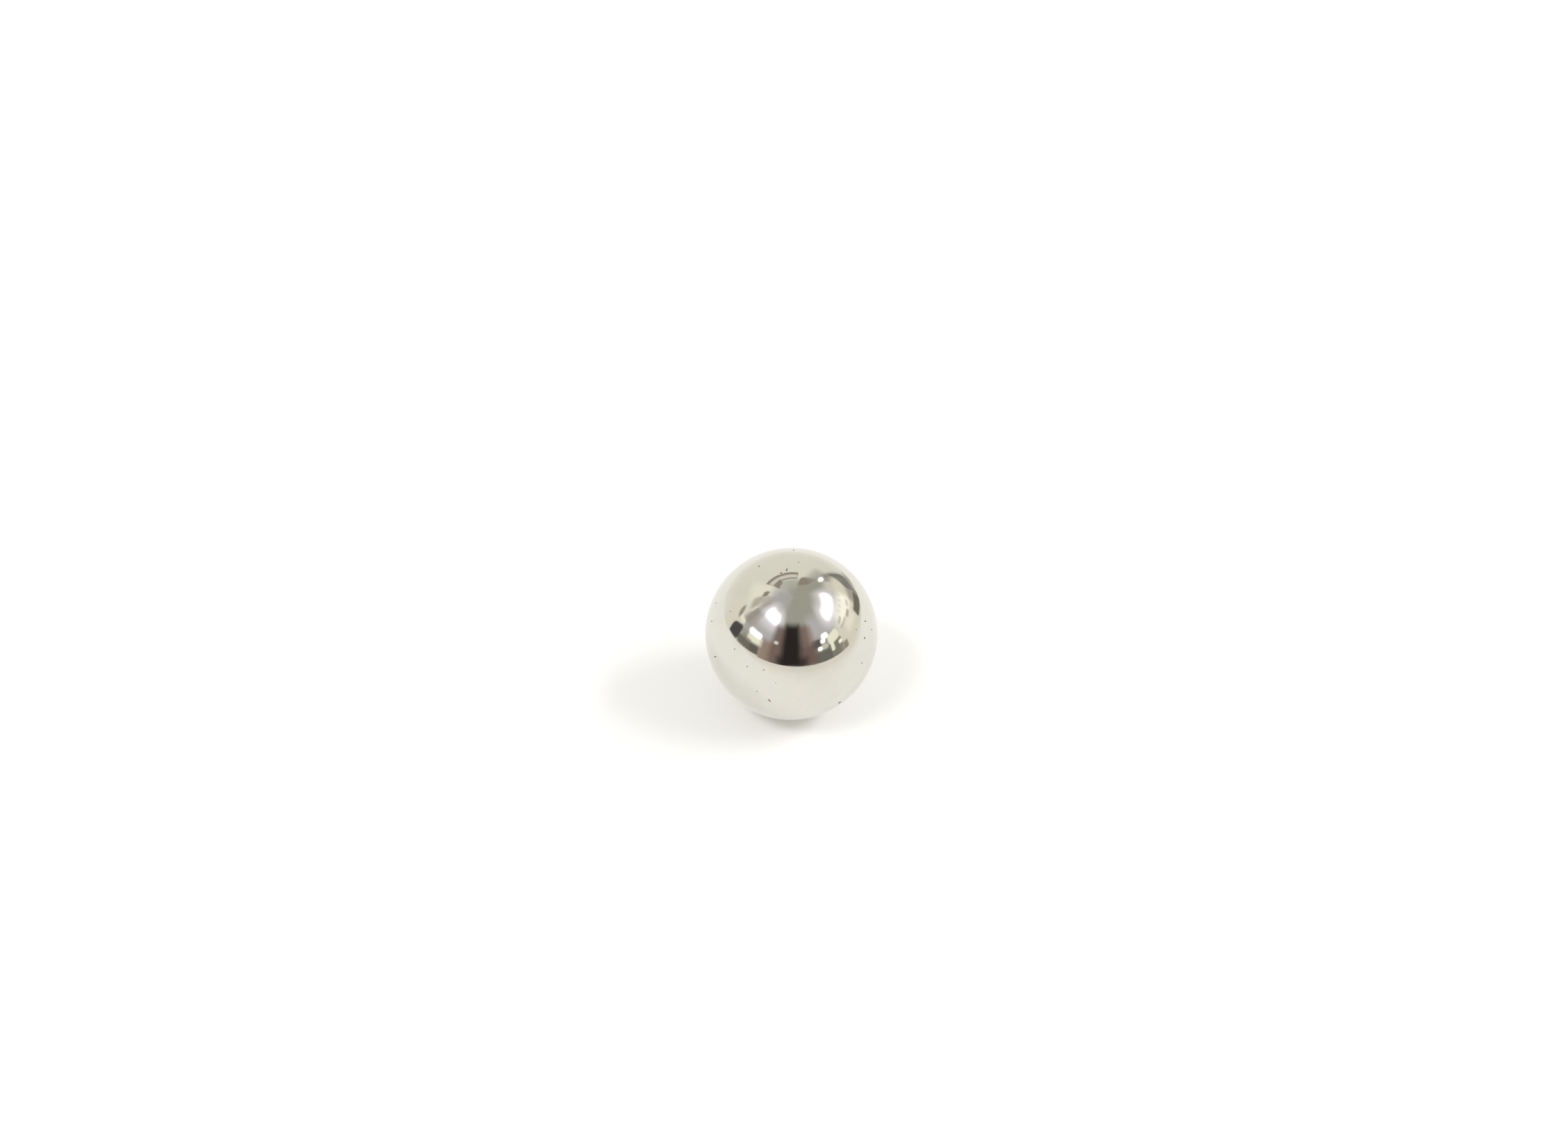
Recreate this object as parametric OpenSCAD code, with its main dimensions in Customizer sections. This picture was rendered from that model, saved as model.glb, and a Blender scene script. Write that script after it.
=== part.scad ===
// Polished steel ball.
// One solid sphere, headed, ground and lapped from one piece of steel, with no bore and no flat.
// The origin is the centre of the ball and +Z is up. Lengths are in millimetres.

/* [Ball] */
// Diameter of the ball: 12.7 is the half-inch size
ball_d = 12.7; // [1:0.1:50]

/* [Hidden] */
// Segments round the ball
$fn = 128;

// The whole object: a true sphere about the origin
module ball() {
    color("silver")
        sphere(d = ball_d);
}

ball();
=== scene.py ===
"""A polished steel ball on a pale floor, lit by two soft panels under a painted studio dome."""
from collections import namedtuple
from math import cos, pi, radians, sin, sqrt, tan

import bpy
import numpy as np
from mathutils import Matrix, Vector


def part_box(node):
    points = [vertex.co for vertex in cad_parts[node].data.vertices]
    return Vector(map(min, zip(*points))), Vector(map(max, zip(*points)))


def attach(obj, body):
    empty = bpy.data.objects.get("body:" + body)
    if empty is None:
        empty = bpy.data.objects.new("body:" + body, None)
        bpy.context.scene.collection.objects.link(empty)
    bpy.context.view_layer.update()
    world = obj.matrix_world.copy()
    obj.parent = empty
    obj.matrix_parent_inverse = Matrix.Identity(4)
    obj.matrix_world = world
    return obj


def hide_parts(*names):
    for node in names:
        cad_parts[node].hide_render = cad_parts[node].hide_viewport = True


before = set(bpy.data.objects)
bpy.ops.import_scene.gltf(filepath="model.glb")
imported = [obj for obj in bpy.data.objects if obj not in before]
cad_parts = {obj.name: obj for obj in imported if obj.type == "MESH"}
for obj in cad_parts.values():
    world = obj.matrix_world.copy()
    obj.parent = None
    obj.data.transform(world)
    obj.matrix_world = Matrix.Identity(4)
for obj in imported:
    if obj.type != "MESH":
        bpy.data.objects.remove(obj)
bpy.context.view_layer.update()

# Ball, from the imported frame, in metres
ball_low, ball_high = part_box("ball")
RADIUS = (ball_high.z - ball_low.z) / 2
MM = 0.001

# Picture, in pixels from its top left corner
PICTURE_W = 2256
PICTURE_H = 1652
BALL_X = 1138.5
BALL_Y = 911.8
BALL_R = 124.0

# Camera: angles in degrees, lens and sensor in millimetres
CAMERA_AZIMUTH = 180.0
CAMERA_ELEVATION = 40.5
CAMERA_ROLL = 3.5
LENS_MM = 50.0
SENSOR_MM = 36.0
FOCAL_PX = LENS_MM / SENSOR_MM * PICTURE_W
CAMERA_DISTANCE = RADIUS * sqrt((FOCAL_PX / BALL_R) ** 2 + 1)
CAMERA_CLIP_NEAR = 0.2 * RADIUS
CAMERA_CLIP_FAR = 500 * RADIUS

# Ball mesh: cells along each of the cube's edges, and the share of a cell within which points are merged
CELLS = 128
MERGE_SHARE = 0.01
# Nicks: the grid round one is drawn in over so many of its lengths and this margin in millimetres, but at
# most over this share of the way to the next one
NICK_REACH = 3.0
NICK_MARGIN = 0.3
NICK_ROOM = 0.5
# Spacing of the grid at a nick's middle, as a share of its spacing elsewhere
NICK_SPACING = 0.12
# Depth of a nick as a share of its width
NICK_DEPTH = 0.22
# Lip round it: height as a share of the depth, then place and width in half widths of the nick
NICK_LIP = 0.08
NICK_LIP_AT = 1.15
NICK_LIP_WIDTH = 0.20
# Band over which its dark fades out, in half widths
NICK_DARK_IN = 0.70
NICK_DARK_OUT = 1.10
# Lift, in radii, under which the surface is still a true ball's
NICK_LEAST_LIFT = 1e-6

# Steel, in linear light
STEEL_TINT = (0.775, 0.760, 0.695)
STEEL_SHADE = (0.745, 0.730, 0.665)
NICK_TINT = (0.10, 0.085, 0.075)
POLISH_ROUGHNESS = 0.045
HAZE_ROUGHNESS = 0.085
NICK_ROUGHNESS = 0.55
# Haze: patches to the metre, detail of the noise, and the noise values between which it sets in
HAZE_SCALE = 420.0
HAZE_DETAIL = 4.0
HAZE_FROM = 0.42
HAZE_TO = 0.72

# Floor: reach from the ball in radii, and the slanting line where it ends in front
FLOOR_REACH = 70.0
FLOOR_EDGE = 22.0
FLOOR_EDGE_AZIMUTH = 153.0
# Its paint as the lamps, the camera and the steel meet it, then a painted shade: the darker paint that the
# steel sees in front
FLOOR_PAINT = (0.90, 0.90, 0.90)
FLOOR_SHOWN = (1.22, 1.22, 1.22)
FLOOR_MIRRORED = (1.025, 1.02, 1.005)
FLOOR_MIRRORED_FRONT_SHADE = (0.88, 0.86, 0.81)
# Where the painted shade in front sets in and is full, in radii towards the slanting line
FLOOR_FRONT_SHADE_NEAR = 1.5
FLOOR_FRONT_SHADE_FAR = 9.0
# Share of its own white in the steel
FLOOR_OWN_SHARE = 0.45

# Light on the floor as shares of a full white: from all round, with more from the sides, and from each lamp
WHITE = (1.0, 1.0, 1.0)
FILL = (0.53, 0.52, 0.49)
FILL_SIDES = (0.86, 0.845, 0.80)
RIGHT_SHARE = 0.20
LEFT_SHARE = 0.165
LAMP_TINT = (1.0, 0.99, 1.02)
# The lamps stand off by so many radii, and so many degrees lower than the panels of the dome
LAMP_DISTANCE = 400.0
LAMP_DROP = 3.5


def aim(azimuth, elevation):
    """Unit vector towards a compass direction: azimuth 0 is away from the camera, 90 is to the right."""
    a, e = radians(azimuth), radians(elevation)
    return Vector((sin(a) * cos(e), cos(a) * cos(e), sin(e)))


def camera_axes():
    """The camera's turn as a matrix: it faces the ball, rolls about that line, then swings until the
    ball's centre falls on its pixel."""
    away = aim(CAMERA_AZIMUTH, CAMERA_ELEVATION)
    upright = (-away).to_track_quat("-Z", "Y").to_matrix()
    rolled = upright @ Matrix.Rotation(radians(CAMERA_ROLL), 3, "Z")
    in_lens = Vector((BALL_X - PICTURE_W / 2, PICTURE_H / 2 - BALL_Y, -FOCAL_PX))
    swing = in_lens.rotation_difference(Vector((0, 0, -1))).to_matrix()
    return rolled @ swing


def make_camera():
    """The camera at the picture's angle, with the ball on its pixel and no shift."""
    lens = bpy.data.cameras.new("camera")
    lens.lens = LENS_MM
    lens.sensor_width = SENSOR_MM
    lens.clip_start = CAMERA_CLIP_NEAR
    lens.clip_end = CAMERA_CLIP_FAR
    camera = bpy.data.objects.new("camera", lens)
    place = Matrix.Translation(aim(CAMERA_AZIMUTH, CAMERA_ELEVATION) * CAMERA_DISTANCE)
    camera.matrix_world = place @ camera_axes().to_4x4()
    bpy.context.scene.collection.objects.link(camera)
    bpy.context.scene.camera = camera


make_camera()

# Ball

# A nick in the polish: its pixel in the picture, its length and width in millimetres as the picture shows
# them, and its lean in degrees
Nick = namedtuple("Nick", "x y length width lean", defaults=(0,))
NICKS = [
    Nick(1107, 1008, 0.30, 0.08, -48),
    Nick(1089, 995, 0.085, 0.06, -30),
    Nick(1075, 959, 0.095, 0.075, 70),
    Nick(1116, 983, 0.065, 0.05),
    Nick(1099, 964, 0.10, 0.08),
    Nick(1162, 1022, 0.06, 0.035, 20),
    Nick(1149, 1006, 0.04, 0.03),
    Nick(1029, 945, 0.19, 0.085, 5),
    Nick(1057, 934, 0.09, 0.075),
    Nick(1024, 894, 0.12, 0.075, 80),
    Nick(1030, 868, 0.085, 0.06, 40),
    Nick(1051, 880, 0.085, 0.06, 60),
    Nick(1132, 820, 0.17, 0.085, 80),
    Nick(1124, 825, 0.11, 0.085),
    Nick(1092, 815, 0.15, 0.075, 85),
    Nick(1149, 809, 0.10, 0.055, 5),
    Nick(1142, 792, 0.11, 0.075),
    Nick(1244, 918, 0.12, 0.115),
    Nick(1245, 894, 0.14, 0.08, -35),
    Nick(1254, 906, 0.10, 0.065, 80),
    Nick(1232, 906, 0.075, 0.065),
    Nick(1240, 954, 0.115, 0.07, 70),
    Nick(1208, 1011, 0.27, 0.10, 35),
]
# Nicks on the unseen half: how many, lengths in millimetres, and widths as shares of the lengths
UNSEEN_NICKS = 26
UNSEEN_SEED = 11
UNSEEN_LENGTH = (0.06, 0.18)
UNSEEN_WIDTH = (0.55, 0.95)


def cube_ball(cells):
    """Six square grids wrapped on a unit sphere. On a face with axis n, and u and v across it, a grid
    point (s, t) from -1 to 1 lies along n + u tan(s pi/4) + v tan(t pi/4), so that the cells span equal
    angles. Points that faces share along the cube's edges are merged. Gives the points and the
    four-cornered faces."""
    span = np.tan(np.linspace(-1, 1, cells + 1) * pi / 4)
    s, t = np.meshgrid(span, span, indexing="ij")
    axes = np.concatenate([np.eye(3), -np.eye(3)])
    sheets = []
    for n in axes:
        u = np.roll(n, 1)
        v = np.cross(n, u)
        sheets.append(n + s[..., None] * u + t[..., None] * v)
    points = np.stack(sheets).reshape(-1, 3)
    points /= np.linalg.norm(points, axis=1, keepdims=True)
    number = np.arange(len(points)).reshape(len(axes), cells + 1, cells + 1)
    corners = (number[:, :-1, :-1], number[:, 1:, :-1], number[:, 1:, 1:], number[:, :-1, 1:])
    faces = np.stack(corners, axis=-1).reshape(-1, 4)
    merge_step = MERGE_SHARE / cells
    _, first, merged = np.unique(
        np.round(points / merge_step).astype(int), axis=0, return_index=True, return_inverse=True
    )
    return points[first], merged.ravel()[faces]


# A nick placed on the unit ball: its centre, unit vectors along and across it, half its length and width
# along them, and half the length that it takes up on the surface
Dent = namedtuple("Dent", "centre along across half_length half_width half_spread")


def seen_dent(nick):
    """A nick of the picture on the unit ball. Its centre is where its pixel's ray first meets the ball.
    Its length and width lie across the view, so on a slanting surface it spreads by one over the slant's
    cosine."""
    turn = np.array(camera_axes())
    right, up = turn[:, 0], turn[:, 1]
    eye = np.array(aim(CAMERA_AZIMUTH, CAMERA_ELEVATION)) * CAMERA_DISTANCE / RADIUS
    ray = turn @ np.array((nick.x - PICTURE_W / 2, PICTURE_H / 2 - nick.y, -FOCAL_PX))
    ray /= np.linalg.norm(ray)
    nearest = -eye @ ray
    centre = eye + (nearest - sqrt(1 - (eye @ eye - nearest ** 2))) * ray
    lean = radians(nick.lean)
    along = cos(lean) * right + sin(lean) * up
    across = cos(lean) * up - sin(lean) * right
    half_length, half_width = nick.length * MM / RADIUS / 2, nick.width * MM / RADIUS / 2
    return Dent(centre, along, across, half_length, half_width, half_length / -(ray @ centre))


def chance_dent(chance):
    """A nick at a place, turn and size drawn by chance, level with the surface of the unit ball."""
    centre, along = chance.normal(size=(2, 3))
    centre /= np.linalg.norm(centre)
    along -= (along @ centre) * centre
    along /= np.linalg.norm(along)
    half_length = chance.uniform(*UNSEEN_LENGTH) * MM / RADIUS / 2
    half_width = half_length * chance.uniform(*UNSEEN_WIDTH)
    return Dent(centre, along, np.cross(centre, along), half_length, half_width, half_length)


def spread_dents():
    """The picture's nicks at their pixels, and others by seeded chance over the half that it hides."""
    dents = [seen_dent(nick) for nick in NICKS]
    chance = np.random.default_rng(UNSEEN_SEED)
    away = np.array(aim(CAMERA_AZIMUTH, CAMERA_ELEVATION))
    while len(dents) < len(NICKS) + UNSEEN_NICKS:
        dent = chance_dent(chance)
        if dent.centre @ away < 0:
            dents.append(dent)
    return dents


def dent_reaches(dents):
    """The angle round each nick over which the grid is drawn in: some of its lengths and a margin, clear
    of the next nick's own."""
    centres = np.array([dent.centre for dent in dents])
    lengths = np.array([dent.half_spread * 2 for dent in dents])
    apart = np.arccos(np.clip(centres @ centres.T, -1, 1)) + np.eye(len(dents)) * pi
    wanted = NICK_REACH * lengths + NICK_MARGIN * MM / RADIUS
    return np.minimum(wanted, NICK_ROOM * apart.min(axis=1))


def draw_in(points, dent, reach):
    """Slides the grid in towards a nick, to give it points enough. Within the reach a, a point at angle
    a t from the centre moves along its great circle to the angle a (k t + (1 - k) t^3), for k the spacing
    at the middle."""
    angle = np.arccos(np.clip(points @ dent.centre, -1, 1))
    near = np.flatnonzero((angle < reach) & (angle > 0))
    angle = angle[near]
    outward = (points[near] - np.outer(np.cos(angle), dent.centre)) / np.sin(angle)[:, None]
    t = angle / reach
    drawn = reach * (NICK_SPACING * t + (1 - NICK_SPACING) * t ** 3)
    points[near] = np.outer(np.cos(drawn), dent.centre) + np.sin(drawn)[:, None] * outward


def sink(points, dent, reach):
    """How far a nick lifts each point, in radii, and how dark it makes it. With q the distance from its
    centre in half lengths and half widths, the surface drops by depth (1 - q^2)^2 where q is under 1, a
    lip of metal stands round it as a bell in q, and the dark fades out across the nick's edge."""
    offset = points - dent.centre
    q = np.hypot(offset @ dent.along / dent.half_length, offset @ dent.across / dent.half_width)
    q[points @ dent.centre < cos(reach)] = np.inf
    bowl = np.clip(1 - q ** 2, 0, 1) ** 2
    lip = NICK_LIP * np.exp(-(((q - NICK_LIP_AT) / NICK_LIP_WIDTH) ** 2))
    dark = np.clip((NICK_DARK_OUT - q) / (NICK_DARK_OUT - NICK_DARK_IN), 0, 1)
    return (lip - bowl) * NICK_DEPTH * dent.half_width * 2, dark


def make_ball():
    """The ball as one closed, smooth mesh, with its nicks sunk into it and marked in the attribute nick.
    Away from the nicks its normals are a true ball's. In a nick they are left to the faces, by a zero."""
    points, faces = cube_ball(CELLS)
    dents = spread_dents()
    reaches = dent_reaches(dents)
    for dent, reach in zip(dents, reaches):
        draw_in(points, dent, reach)
    lifts, darks = zip(*[sink(points, dent, reach) for dent, reach in zip(dents, reaches)])
    lift = np.sum(lifts, axis=0)[:, None]
    places = points * (1 + lift) * RADIUS + np.array((ball_low + ball_high) / 2)
    mesh = bpy.data.meshes.new("polished_ball")
    mesh.from_pydata(places, [], faces)
    mesh.attributes.new("nick", "FLOAT", "POINT").data.foreach_set("value", np.max(darks, axis=0))
    mesh.shade_smooth()
    mesh.normals_split_custom_set_from_vertices(np.where(abs(lift) < NICK_LEAST_LIFT, points, 0))
    ball = bpy.data.objects.new("polished_ball", mesh)
    bpy.context.scene.collection.objects.link(ball)
    return ball


# Shader nodes

# Sockets of a Mix node, by number
MIX_FACTOR = 0
MIX_VALUE_UNDER = 2
MIX_VALUE_OVER = 3
MIX_COLOUR_UNDER = 6
MIX_COLOUR_OVER = 7
MIX_COLOUR_RESULT = 2


def add(tree, kind, inputs=None, **settings):
    """Adds a node, sets its properties, and fills or links its inputs by name or number."""
    node = tree.nodes.new(kind)
    for name, value in settings.items():
        setattr(node, name, value)
    for key, value in (inputs or {}).items():
        if isinstance(value, bpy.types.NodeSocket):
            tree.links.new(value, node.inputs[key])
        else:
            node.inputs[key].default_value = value
    return node


def maths(tree, operation, *values):
    """The result of a Math node."""
    return add(tree, "ShaderNodeMath", dict(enumerate(values)), operation=operation).outputs[0]


def vectors(tree, operation, *values):
    """The outputs of a Vector Math node, by name."""
    return add(tree, "ShaderNodeVectorMath", dict(enumerate(values)), operation=operation).outputs


def blend(tree, factor, under, over):
    """The colour under where the factor is 0, and the colour over where it is 1."""
    inputs = {MIX_FACTOR: factor, MIX_COLOUR_UNDER: under, MIX_COLOUR_OVER: over}
    return add(tree, "ShaderNodeMix", inputs, data_type="RGBA").outputs[MIX_COLOUR_RESULT]


def ramp(tree, value, low, high, at_low=0.0, at_high=1.0):
    """A smooth step from at_low to at_high, as the value goes from low to high."""
    names = ("Value", "From Min", "From Max", "To Min", "To Max")
    inputs = dict(zip(names, (value, low, high, at_low, at_high)))
    return add(tree, "ShaderNodeMapRange", inputs, interpolation_type="SMOOTHSTEP").outputs[0]


def opaque(colour):
    """A colour with its alpha."""
    return (*colour, 1.0)


def new_material(name):
    """A material with an empty node tree and its output node."""
    material = bpy.data.materials.new(name)
    material.use_nodes = True
    material.node_tree.nodes.clear()
    return material, material.node_tree, add(material.node_tree, "ShaderNodeOutputMaterial")


def polished_steel():
    """Lapped steel: a clear mirror with faint haze, and dark, rough nicks where the attribute marks
    them."""
    material, tree, output = new_material("polished_steel")
    place = add(tree, "ShaderNodeTexCoord").outputs["Object"]
    nick = add(tree, "ShaderNodeAttribute", attribute_name="nick").outputs["Fac"]
    noise = {"Vector": place, "Scale": HAZE_SCALE, "Detail": HAZE_DETAIL}
    haze = ramp(tree, add(tree, "ShaderNodeTexNoise", noise).outputs[0], HAZE_FROM, HAZE_TO)
    tint = blend(tree, haze, opaque(STEEL_TINT), opaque(STEEL_SHADE))
    tint = blend(tree, nick, tint, opaque(NICK_TINT))
    rough = ramp(tree, haze, 0.0, 1.0, POLISH_ROUGHNESS, HAZE_ROUGHNESS)
    mix = {MIX_FACTOR: nick, MIX_VALUE_UNDER: rough, MIX_VALUE_OVER: NICK_ROUGHNESS}
    rough = add(tree, "ShaderNodeMix", mix).outputs[0]
    finish = {"Base Color": tint, "Roughness": rough, "Metallic": 1.0}
    shader = add(tree, "ShaderNodeBsdfPrincipled", finish)
    tree.links.new(shader.outputs[0], output.inputs["Surface"])
    return material


ball = make_ball()
ball.data.materials.append(polished_steel())
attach(ball, "root")
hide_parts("ball")

# Floor


def pale_floor():
    """White paint that keeps shadows. The camera sees it bright enough to come out white. The steel sees it
    a little warm, with a painted shade that darkens it towards its edge in front, and with part of its
    white its own. Light that it has bounced gets a smaller part, so that the shadow under the ball stays
    dark."""
    material, tree, output = new_material("pale_floor")
    path = add(tree, "ShaderNodeLightPath").outputs
    mirrored = maths(tree, "MAXIMUM", path["Is Glossy Ray"], path["Is Transmission Ray"])
    place = add(tree, "ShaderNodeTexCoord").outputs["Object"]
    depth = vectors(tree, "DOT_PRODUCT", place, aim(FLOOR_EDGE_AZIMUTH, 0))["Value"]
    # Painted shade: the paint that the steel sees darkens towards the floor's edge in front
    front = ramp(tree, depth, FLOOR_FRONT_SHADE_NEAR * RADIUS, FLOOR_FRONT_SHADE_FAR * RADIUS)
    warm = blend(tree, front, opaque(FLOOR_MIRRORED), opaque(FLOOR_MIRRORED_FRONT_SHADE))
    colour = blend(tree, path["Is Camera Ray"], opaque(FLOOR_PAINT), opaque(FLOOR_SHOWN))
    colour = blend(tree, mirrored, colour, warm)
    paint = add(tree, "ShaderNodeBsdfDiffuse", {"Color": colour})
    own = add(tree, "ShaderNodeEmission", {"Color": warm})
    bounces = maths(tree, "ADD", path["Diffuse Depth"], 1.0)
    share = maths(tree, "DIVIDE", maths(tree, "MULTIPLY", mirrored, FLOOR_OWN_SHARE), bounces)
    mixed = add(tree, "ShaderNodeMixShader", {0: share, 1: paint.outputs[0], 2: own.outputs[0]})
    tree.links.new(mixed.outputs[0], output.inputs["Surface"])
    return material


def make_floor():
    """A flat sheet under the ball: a square cut off in front of it along a slanting line, whose points p
    keep p . n = edge for n the level direction of the edge's azimuth."""
    side, edge = FLOOR_REACH * RADIUS, FLOOR_EDGE * RADIUS
    z = ball_low.z
    n = aim(FLOOR_EDGE_AZIMUTH, 0)
    left_front = (edge + n.x * side) / n.y
    right_front = (edge - n.x * side) / n.y
    corners = [(-side, left_front, z), (side, right_front, z), (side, side, z), (-side, side, z)]
    mesh = bpy.data.meshes.new("floor")
    mesh.from_pydata(corners, [], [(0, 1, 2, 3)])
    mesh.materials.append(pale_floor())
    floor = bpy.data.objects.new("floor", mesh)
    bpy.context.scene.collection.objects.link(floor)


make_floor()

# Studio dome, as the steel mirrors it

PANEL_WHITE = (2.20, 2.20, 2.30)
LAMP_WHITE = (1.90, 1.90, 1.90)
IVORY = (1.26, 1.24, 1.10)
GLOW = (0.98, 0.95, 1.04)
LILAC = (0.56, 0.545, 0.59)
CREAM = (0.85, 0.84, 0.77)
SAND = (0.85, 0.825, 0.71)
PEARL = (0.95, 0.95, 0.90)
STRAW = (1.02, 1.01, 0.87)
ROOF_GREY = (0.41, 0.41, 0.36)
MID_GREY = (0.45, 0.42, 0.39)
WARM_GREY = (0.33, 0.29, 0.25)
SLATE = (0.20, 0.195, 0.20)
OLIVE = (0.20, 0.19, 0.155)
BROWN = (0.37, 0.275, 0.24)
MAROON = (0.20, 0.135, 0.125)
CHARCOAL = (0.085, 0.08, 0.09)
BLACK = (0.028, 0.023, 0.022)

# A card on the dome: its tone, the azimuths and elevations that it spans in degrees, how much its
# elevation rises with each degree of azimuth, the softness of its edge, how much it covers, and its corners
# from square 0 to round 1
CARD_FIELDS = "tone azimuth elevation slope soft cover corner"
Card = namedtuple("Card", CARD_FIELDS, defaults=(0.0, 1.3, 1.0, 0.4))
LEFT_PANEL = Card(PANEL_WHITE, (-152, -117), (48.5, 61), slope=0.10, soft=5, corner=1)
RIGHT_PANEL = Card(PANEL_WHITE, (64, 111), (42, 54.5), slope=-0.12, soft=5, corner=1)
# A row of small dashes at the right: where each starts, and its width
DASH_AZIMUTHS = (58, 66, 74, 82)
DASH_WIDTH = 4
CARDS = [
    # Washes of light on the roof
    Card(LILAC, (-150, -40), (54, 86), soft=36, corner=1),
    Card(CREAM, (-64, 12), (54, 76), soft=12, cover=0.32, corner=1),
    # Pale cards behind the ball and at the right
    Card(CREAM, (-104, 30), (-30, 62), soft=5),
    Card(PEARL, (-66, 26), (-30, 5), soft=9, cover=0.7),
    Card(SAND, (-102, -78), (-30, 26), soft=9),
    Card(STRAW, (-84, -52), (36, 66), soft=8, cover=0.6),
    Card(SAND, (34, 110), (-30, 36), soft=4),
    Card(IVORY, (57, 105), (21, 40), slope=0.2, soft=5, cover=0.95),
    Card(IVORY, (70, 92), (9, 19), soft=5, cover=0.4),
    *[Card(MID_GREY, (a, a + DASH_WIDTH), (31, 35), soft=2, cover=0.4, corner=1) for a in DASH_AZIMUTHS],
    # Washes of light at both sides
    Card(LILAC, (-160, -98), (20, 66), soft=5, cover=0.9),
    Card(LILAC, (98, 150), (26, 57), soft=9, cover=0.9),
    # The two soft panels, each in its glow
    Card(GLOW, (-162, -106), (39, 68), slope=0.08, soft=9, cover=0.8, corner=1),
    LEFT_PANEL,
    Card(GLOW, (56, 120), (33, 63), slope=-0.08, soft=10, cover=0.85, corner=1),
    RIGHT_PANEL,
    # Cards and a lamp at the left
    Card(MID_GREY, (-118, -97), (24, 48), soft=5, cover=0.7),
    Card(WARM_GREY, (-109, -97), (26, 46), soft=4, cover=0.5),
    Card(MID_GREY, (-106, -80), (50, 63), soft=4, cover=0.65),
    Card(STRAW, (-97.5, -92), (35, 46), slope=-0.6, soft=2, cover=0.7, corner=1),
    Card(STRAW, (-141, -117), (12, 22), soft=1.6),
    Card(LAMP_WHITE, (-137, -115), (20.5, 27.5), soft=1.4, corner=1),
    Card(WARM_GREY, (-125, -110), (8, 13.5), soft=1.6, cover=0.85),
    Card(OLIVE, (-138, -106), (-1, 10), soft=1),
    Card(CHARCOAL, (-138, -125), (-1, 13), slope=-0.15, soft=2, cover=0.45),
    Card(CHARCOAL, (-106, -89), (-2, 17), slope=-0.4, soft=1, corner=0.6),
    Card(PEARL, (-139, -88), (-6, 0.2), soft=1, corner=0),
    Card(STRAW, (-103, -90), (20, 25), soft=1.3, corner=1),
    Card(WARM_GREY, (-91, -82), (20, 30), slope=0.8, soft=1.6, cover=0.85, corner=1),
    Card(WARM_GREY, (-94, -78), (39, 51), slope=0.4, soft=4, cover=0.6),
    Card(WARM_GREY, (-80, -67), (53, 60), slope=0.2, soft=1.6, corner=1),
    # A long card with a dark rim, and two small ones, at the back
    Card(WARM_GREY, (-51, 5), (50, 61.5), soft=0.7, corner=0.1),
    Card(CREAM, (-50, 4), (54, 59.5), soft=1, cover=0.8, corner=0.1),
    Card(WARM_GREY, (-52, -29), (60, 67), slope=-0.2, soft=1.6),
    Card(WARM_GREY, (11, 34), (53.5, 69), slope=-0.35, soft=2, corner=0.6),
    # Cards and a lamp at the right
    Card(MID_GREY, (20, 40), (32, 56), soft=6, cover=0.65),
    Card(CREAM, (43, 60), (32, 48), soft=6, cover=0.75, corner=1),
    Card(LAMP_WHITE, (32.5, 39.5), (40, 48), slope=0.6, soft=1.4, corner=1),
    Card(MID_GREY, (36, 58), (8, 18), soft=4, cover=0.95),
    Card(SLATE, (29.5, 34.5), (6, 36), soft=1.3, cover=0.4),
    Card(SLATE, (30, 45), (3, 23), slope=-0.8, soft=1.3, cover=0.78),
    Card(SLATE, (25, 38), (-10, 6), slope=0.6, soft=1.3, cover=0.28),
    Card(CREAM, (41, 46), (34, 45), slope=-0.5, soft=1.3, cover=0.5, corner=1),
    Card(OLIVE, (45, 67), (1, 10.5), slope=0.2, soft=1),
    Card(MID_GREY, (72, 82), (18.5, 22.5), soft=1, cover=0.8, corner=1),
    Card(MID_GREY, (61, 69), (20.5, 24), soft=1, cover=0.5, corner=1),
    Card(MID_GREY, (84, 100), (20, 23), slope=-0.1, soft=1, cover=0.5, corner=1),
    Card(MID_GREY, (89, 99), (25.5, 29.5), slope=-0.2, soft=1.3, cover=0.6, corner=1),
    Card(OLIVE, (106, 150), (-6, 16.5), soft=1.3, cover=0.72),
    Card(OLIVE, (99, 106), (-6, 6), soft=1.3, cover=0.8),
    Card(CHARCOAL, (124, 150), (-6, 10), soft=1.3, cover=0.45),
    Card(STRAW, (107, 126), (14.5, 26.5), slope=-0.15, soft=1.3, corner=0.8),
    Card(STRAW, (119, 124), (5, 17), soft=1.2, corner=0.8),
    Card(IVORY, (106, 112), (8, 12), soft=1, corner=1),
    Card(CHARCOAL, (136.5, 150), (16, 27), soft=2, cover=0.9),
    Card(LAMP_WHITE, (122.5, 133.5), (24, 31), soft=1.3, corner=1),
    Card(LAMP_WHITE, (129.5, 136.5), (20, 25), soft=1.2, corner=1),
    Card(CREAM, (127, 137), (12, 18), soft=1.3, cover=0.7, corner=1),
    Card(LAMP_WHITE, (136, 142.5), (12, 17), soft=1.2, corner=1),
    # The dark front, with warm sides
    Card(BROWN, (-158, -139), (-6, 24), soft=5, cover=0.95),
    Card(MAROON, (-175, -152), (-6, 48), soft=6, cover=0.9),
    Card(BROWN, (145, 164), (24, 48), soft=5, cover=0.8),
    Card(MAROON, (145, 168), (-10, 24), soft=6),
    Card(MAROON, (152, 168), (20, 50), soft=5, cover=0.7),
    Card(BLACK, (165, 192), (-10, 52), soft=6, corner=0.1),
    Card(BLACK, (157, 197), (-10, 8), soft=6, cover=0.8, corner=0.1),
    Card(STRAW, (-162, -156), (23.5, 27), soft=1.5, cover=0.9, corner=1),
]


HALF_TURN = 180.0


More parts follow.
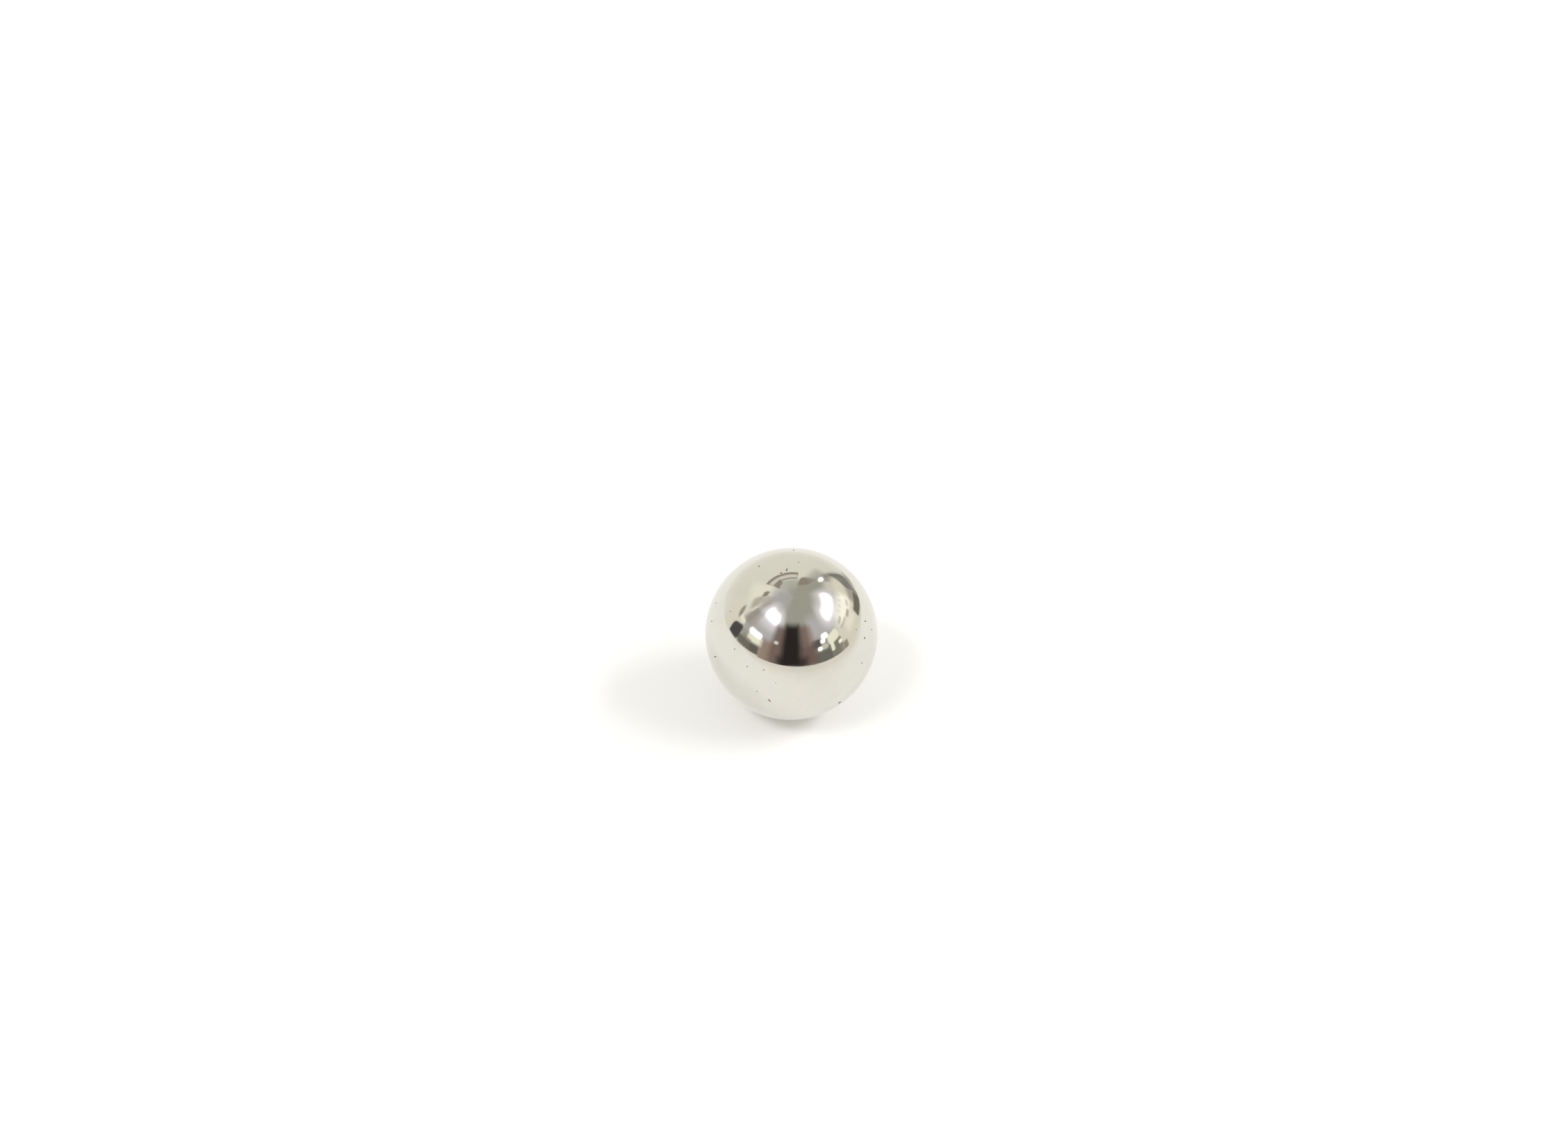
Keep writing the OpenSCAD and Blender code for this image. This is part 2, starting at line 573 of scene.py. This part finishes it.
def dome_card_group():
    """Node group that lays one card over a colour. In degrees from the card's middle, sheared by its
    slope, d is the distance to a rectangle with round corners, and the card fades out from d = -soft to
    d = soft."""
    tree = bpy.data.node_groups.new("dome_card", "ShaderNodeTree")
    places = ("Azimuth", "Elevation", "Middle_Azimuth", "Middle_Elevation")
    forms = ("Slope", "Flat_Width", "Flat_Height", "Corner", "Soft", "Cover")
    for name in places + forms:
        tree.interface.new_socket(name, in_out="INPUT", socket_type="NodeSocketFloat")
    for name in ("Under", "Tone"):
        tree.interface.new_socket(name, in_out="INPUT", socket_type="NodeSocketColor")
    tree.interface.new_socket("Colour", in_out="OUTPUT", socket_type="NodeSocketColor")
    given = add(tree, "NodeGroupInput").outputs
    turn = maths(tree, "SUBTRACT", given["Azimuth"], given["Middle_Azimuth"])
    turn = maths(tree, "WRAP", turn, HALF_TURN, -HALF_TURN)
    rise = maths(tree, "SUBTRACT", given["Elevation"], given["Middle_Elevation"])
    rise = maths(tree, "SUBTRACT", rise, maths(tree, "MULTIPLY", turn, given["Slope"]))
    across = maths(tree, "SUBTRACT", maths(tree, "ABSOLUTE", turn), given["Flat_Width"])
    upward = maths(tree, "SUBTRACT", maths(tree, "ABSOLUTE", rise), given["Flat_Height"])
    beyond = add(tree, "ShaderNodeCombineXYZ", {0: across, 1: upward}).outputs[0]
    beyond = vectors(tree, "MAXIMUM", beyond, (0, 0, 0))["Vector"]
    outside = vectors(tree, "LENGTH", beyond)["Value"]
    inside = maths(tree, "MINIMUM", maths(tree, "MAXIMUM", across, upward), 0.0)
    distance = maths(tree, "SUBTRACT", maths(tree, "ADD", outside, inside), given["Corner"])
    soft = given["Soft"]
    mask = ramp(tree, distance, maths(tree, "MULTIPLY", soft, -1.0), soft, given["Cover"], 0.0)
    output = add(tree, "NodeGroupOutput")
    tree.links.new(blend(tree, mask, given["Under"], given["Tone"]), output.inputs["Colour"])
    return tree


def make_world():
    """White behind the floor, a plain fill on the floor, and the dome of cards in the steel. The fill goes
    from its middle tone to that of the sides with x^2, for x how far a direction points to a side."""
    world = bpy.data.worlds.new("studio")
    bpy.context.scene.world = world
    world.use_nodes = True
    tree = world.node_tree
    tree.nodes.clear()
    heading = add(tree, "ShaderNodeTexCoord").outputs["Generated"]
    along = add(tree, "ShaderNodeSeparateXYZ", {0: heading}).outputs
    azimuth = maths(tree, "DEGREES", maths(tree, "ARCTAN2", along[0], along[1]))
    elevation = maths(tree, "DEGREES", maths(tree, "ARCSINE", along[2]))
    group = dome_card_group()
    colour = opaque(ROOF_GREY)
    for card in CARDS:
        half_width = (card.azimuth[1] - card.azimuth[0]) / 2
        half_height = (card.elevation[1] - card.elevation[0]) / 2
        corner = card.corner * min(half_width, half_height)
        inputs = {
            "Azimuth": azimuth,
            "Elevation": elevation,
            "Middle_Azimuth": card.azimuth[0] + half_width,
            "Middle_Elevation": card.elevation[0] + half_height,
            "Slope": card.slope,
            "Flat_Width": half_width - corner,
            "Flat_Height": half_height - corner,
            "Corner": corner,
            "Soft": card.soft,
            "Cover": card.cover,
            "Under": colour,
            "Tone": opaque(card.tone),
        }
        colour = add(tree, "ShaderNodeGroup", inputs, node_tree=group).outputs["Colour"]
    path = add(tree, "ShaderNodeLightPath").outputs
    mirrored = maths(tree, "MAXIMUM", path["Is Glossy Ray"], path["Is Transmission Ray"])
    sides = maths(tree, "MULTIPLY", along[0], along[0])
    plain = blend(tree, sides, opaque(FILL), opaque(FILL_SIDES))
    plain = blend(tree, path["Is Camera Ray"], plain, opaque(WHITE))
    plain = add(tree, "ShaderNodeBackground", {"Color": plain}).outputs[0]
    dome = add(tree, "ShaderNodeBackground", {"Color": colour}).outputs[0]
    mixed = add(tree, "ShaderNodeMixShader", {0: mirrored, 1: plain, 2: dome}).outputs[0]
    output = add(tree, "ShaderNodeOutputWorld")
    tree.links.new(mixed, output.inputs["Surface"])


def make_lamp(name, panel, share):
    """A rectangular lamp in a panel's direction, as wide and high as it looks from the ball. With power
    share (pi d)^2 / sin(rise) at distance d, it gives a white floor that share of a full white. Its mirror
    image is left to the dome."""
    (left, right), (low, high) = np.radians(panel.azimuth), np.radians(panel.elevation)
    heading = sum(panel.azimuth) / 2
    rise = sum(panel.elevation) / 2 - LAMP_DROP
    off = LAMP_DISTANCE * RADIUS
    lamp = bpy.data.lights.new(name, "AREA")
    lamp.shape = "RECTANGLE"
    lamp.size = 2 * off * tan((right - left) / 2 * cos(radians(rise)))
    lamp.size_y = 2 * off * tan((high - low) / 2)
    lamp.color = LAMP_TINT
    lamp.energy = share * (pi * off) ** 2 / sin(radians(rise))
    towards = aim(heading, rise)
    shown = bpy.data.objects.new(name, lamp)
    shown.location = towards * off
    shown.rotation_euler = towards.to_track_quat("Z", "Y").to_euler()
    shown.visible_camera = False
    shown.visible_glossy = False
    shown.visible_transmission = False
    bpy.context.scene.collection.objects.link(shown)


make_world()
make_lamp("left_lamp", LEFT_PANEL, LEFT_SHARE)
make_lamp("right_lamp", RIGHT_PANEL, RIGHT_SHARE)

bpy.context.scene.view_settings.view_transform = "Standard"
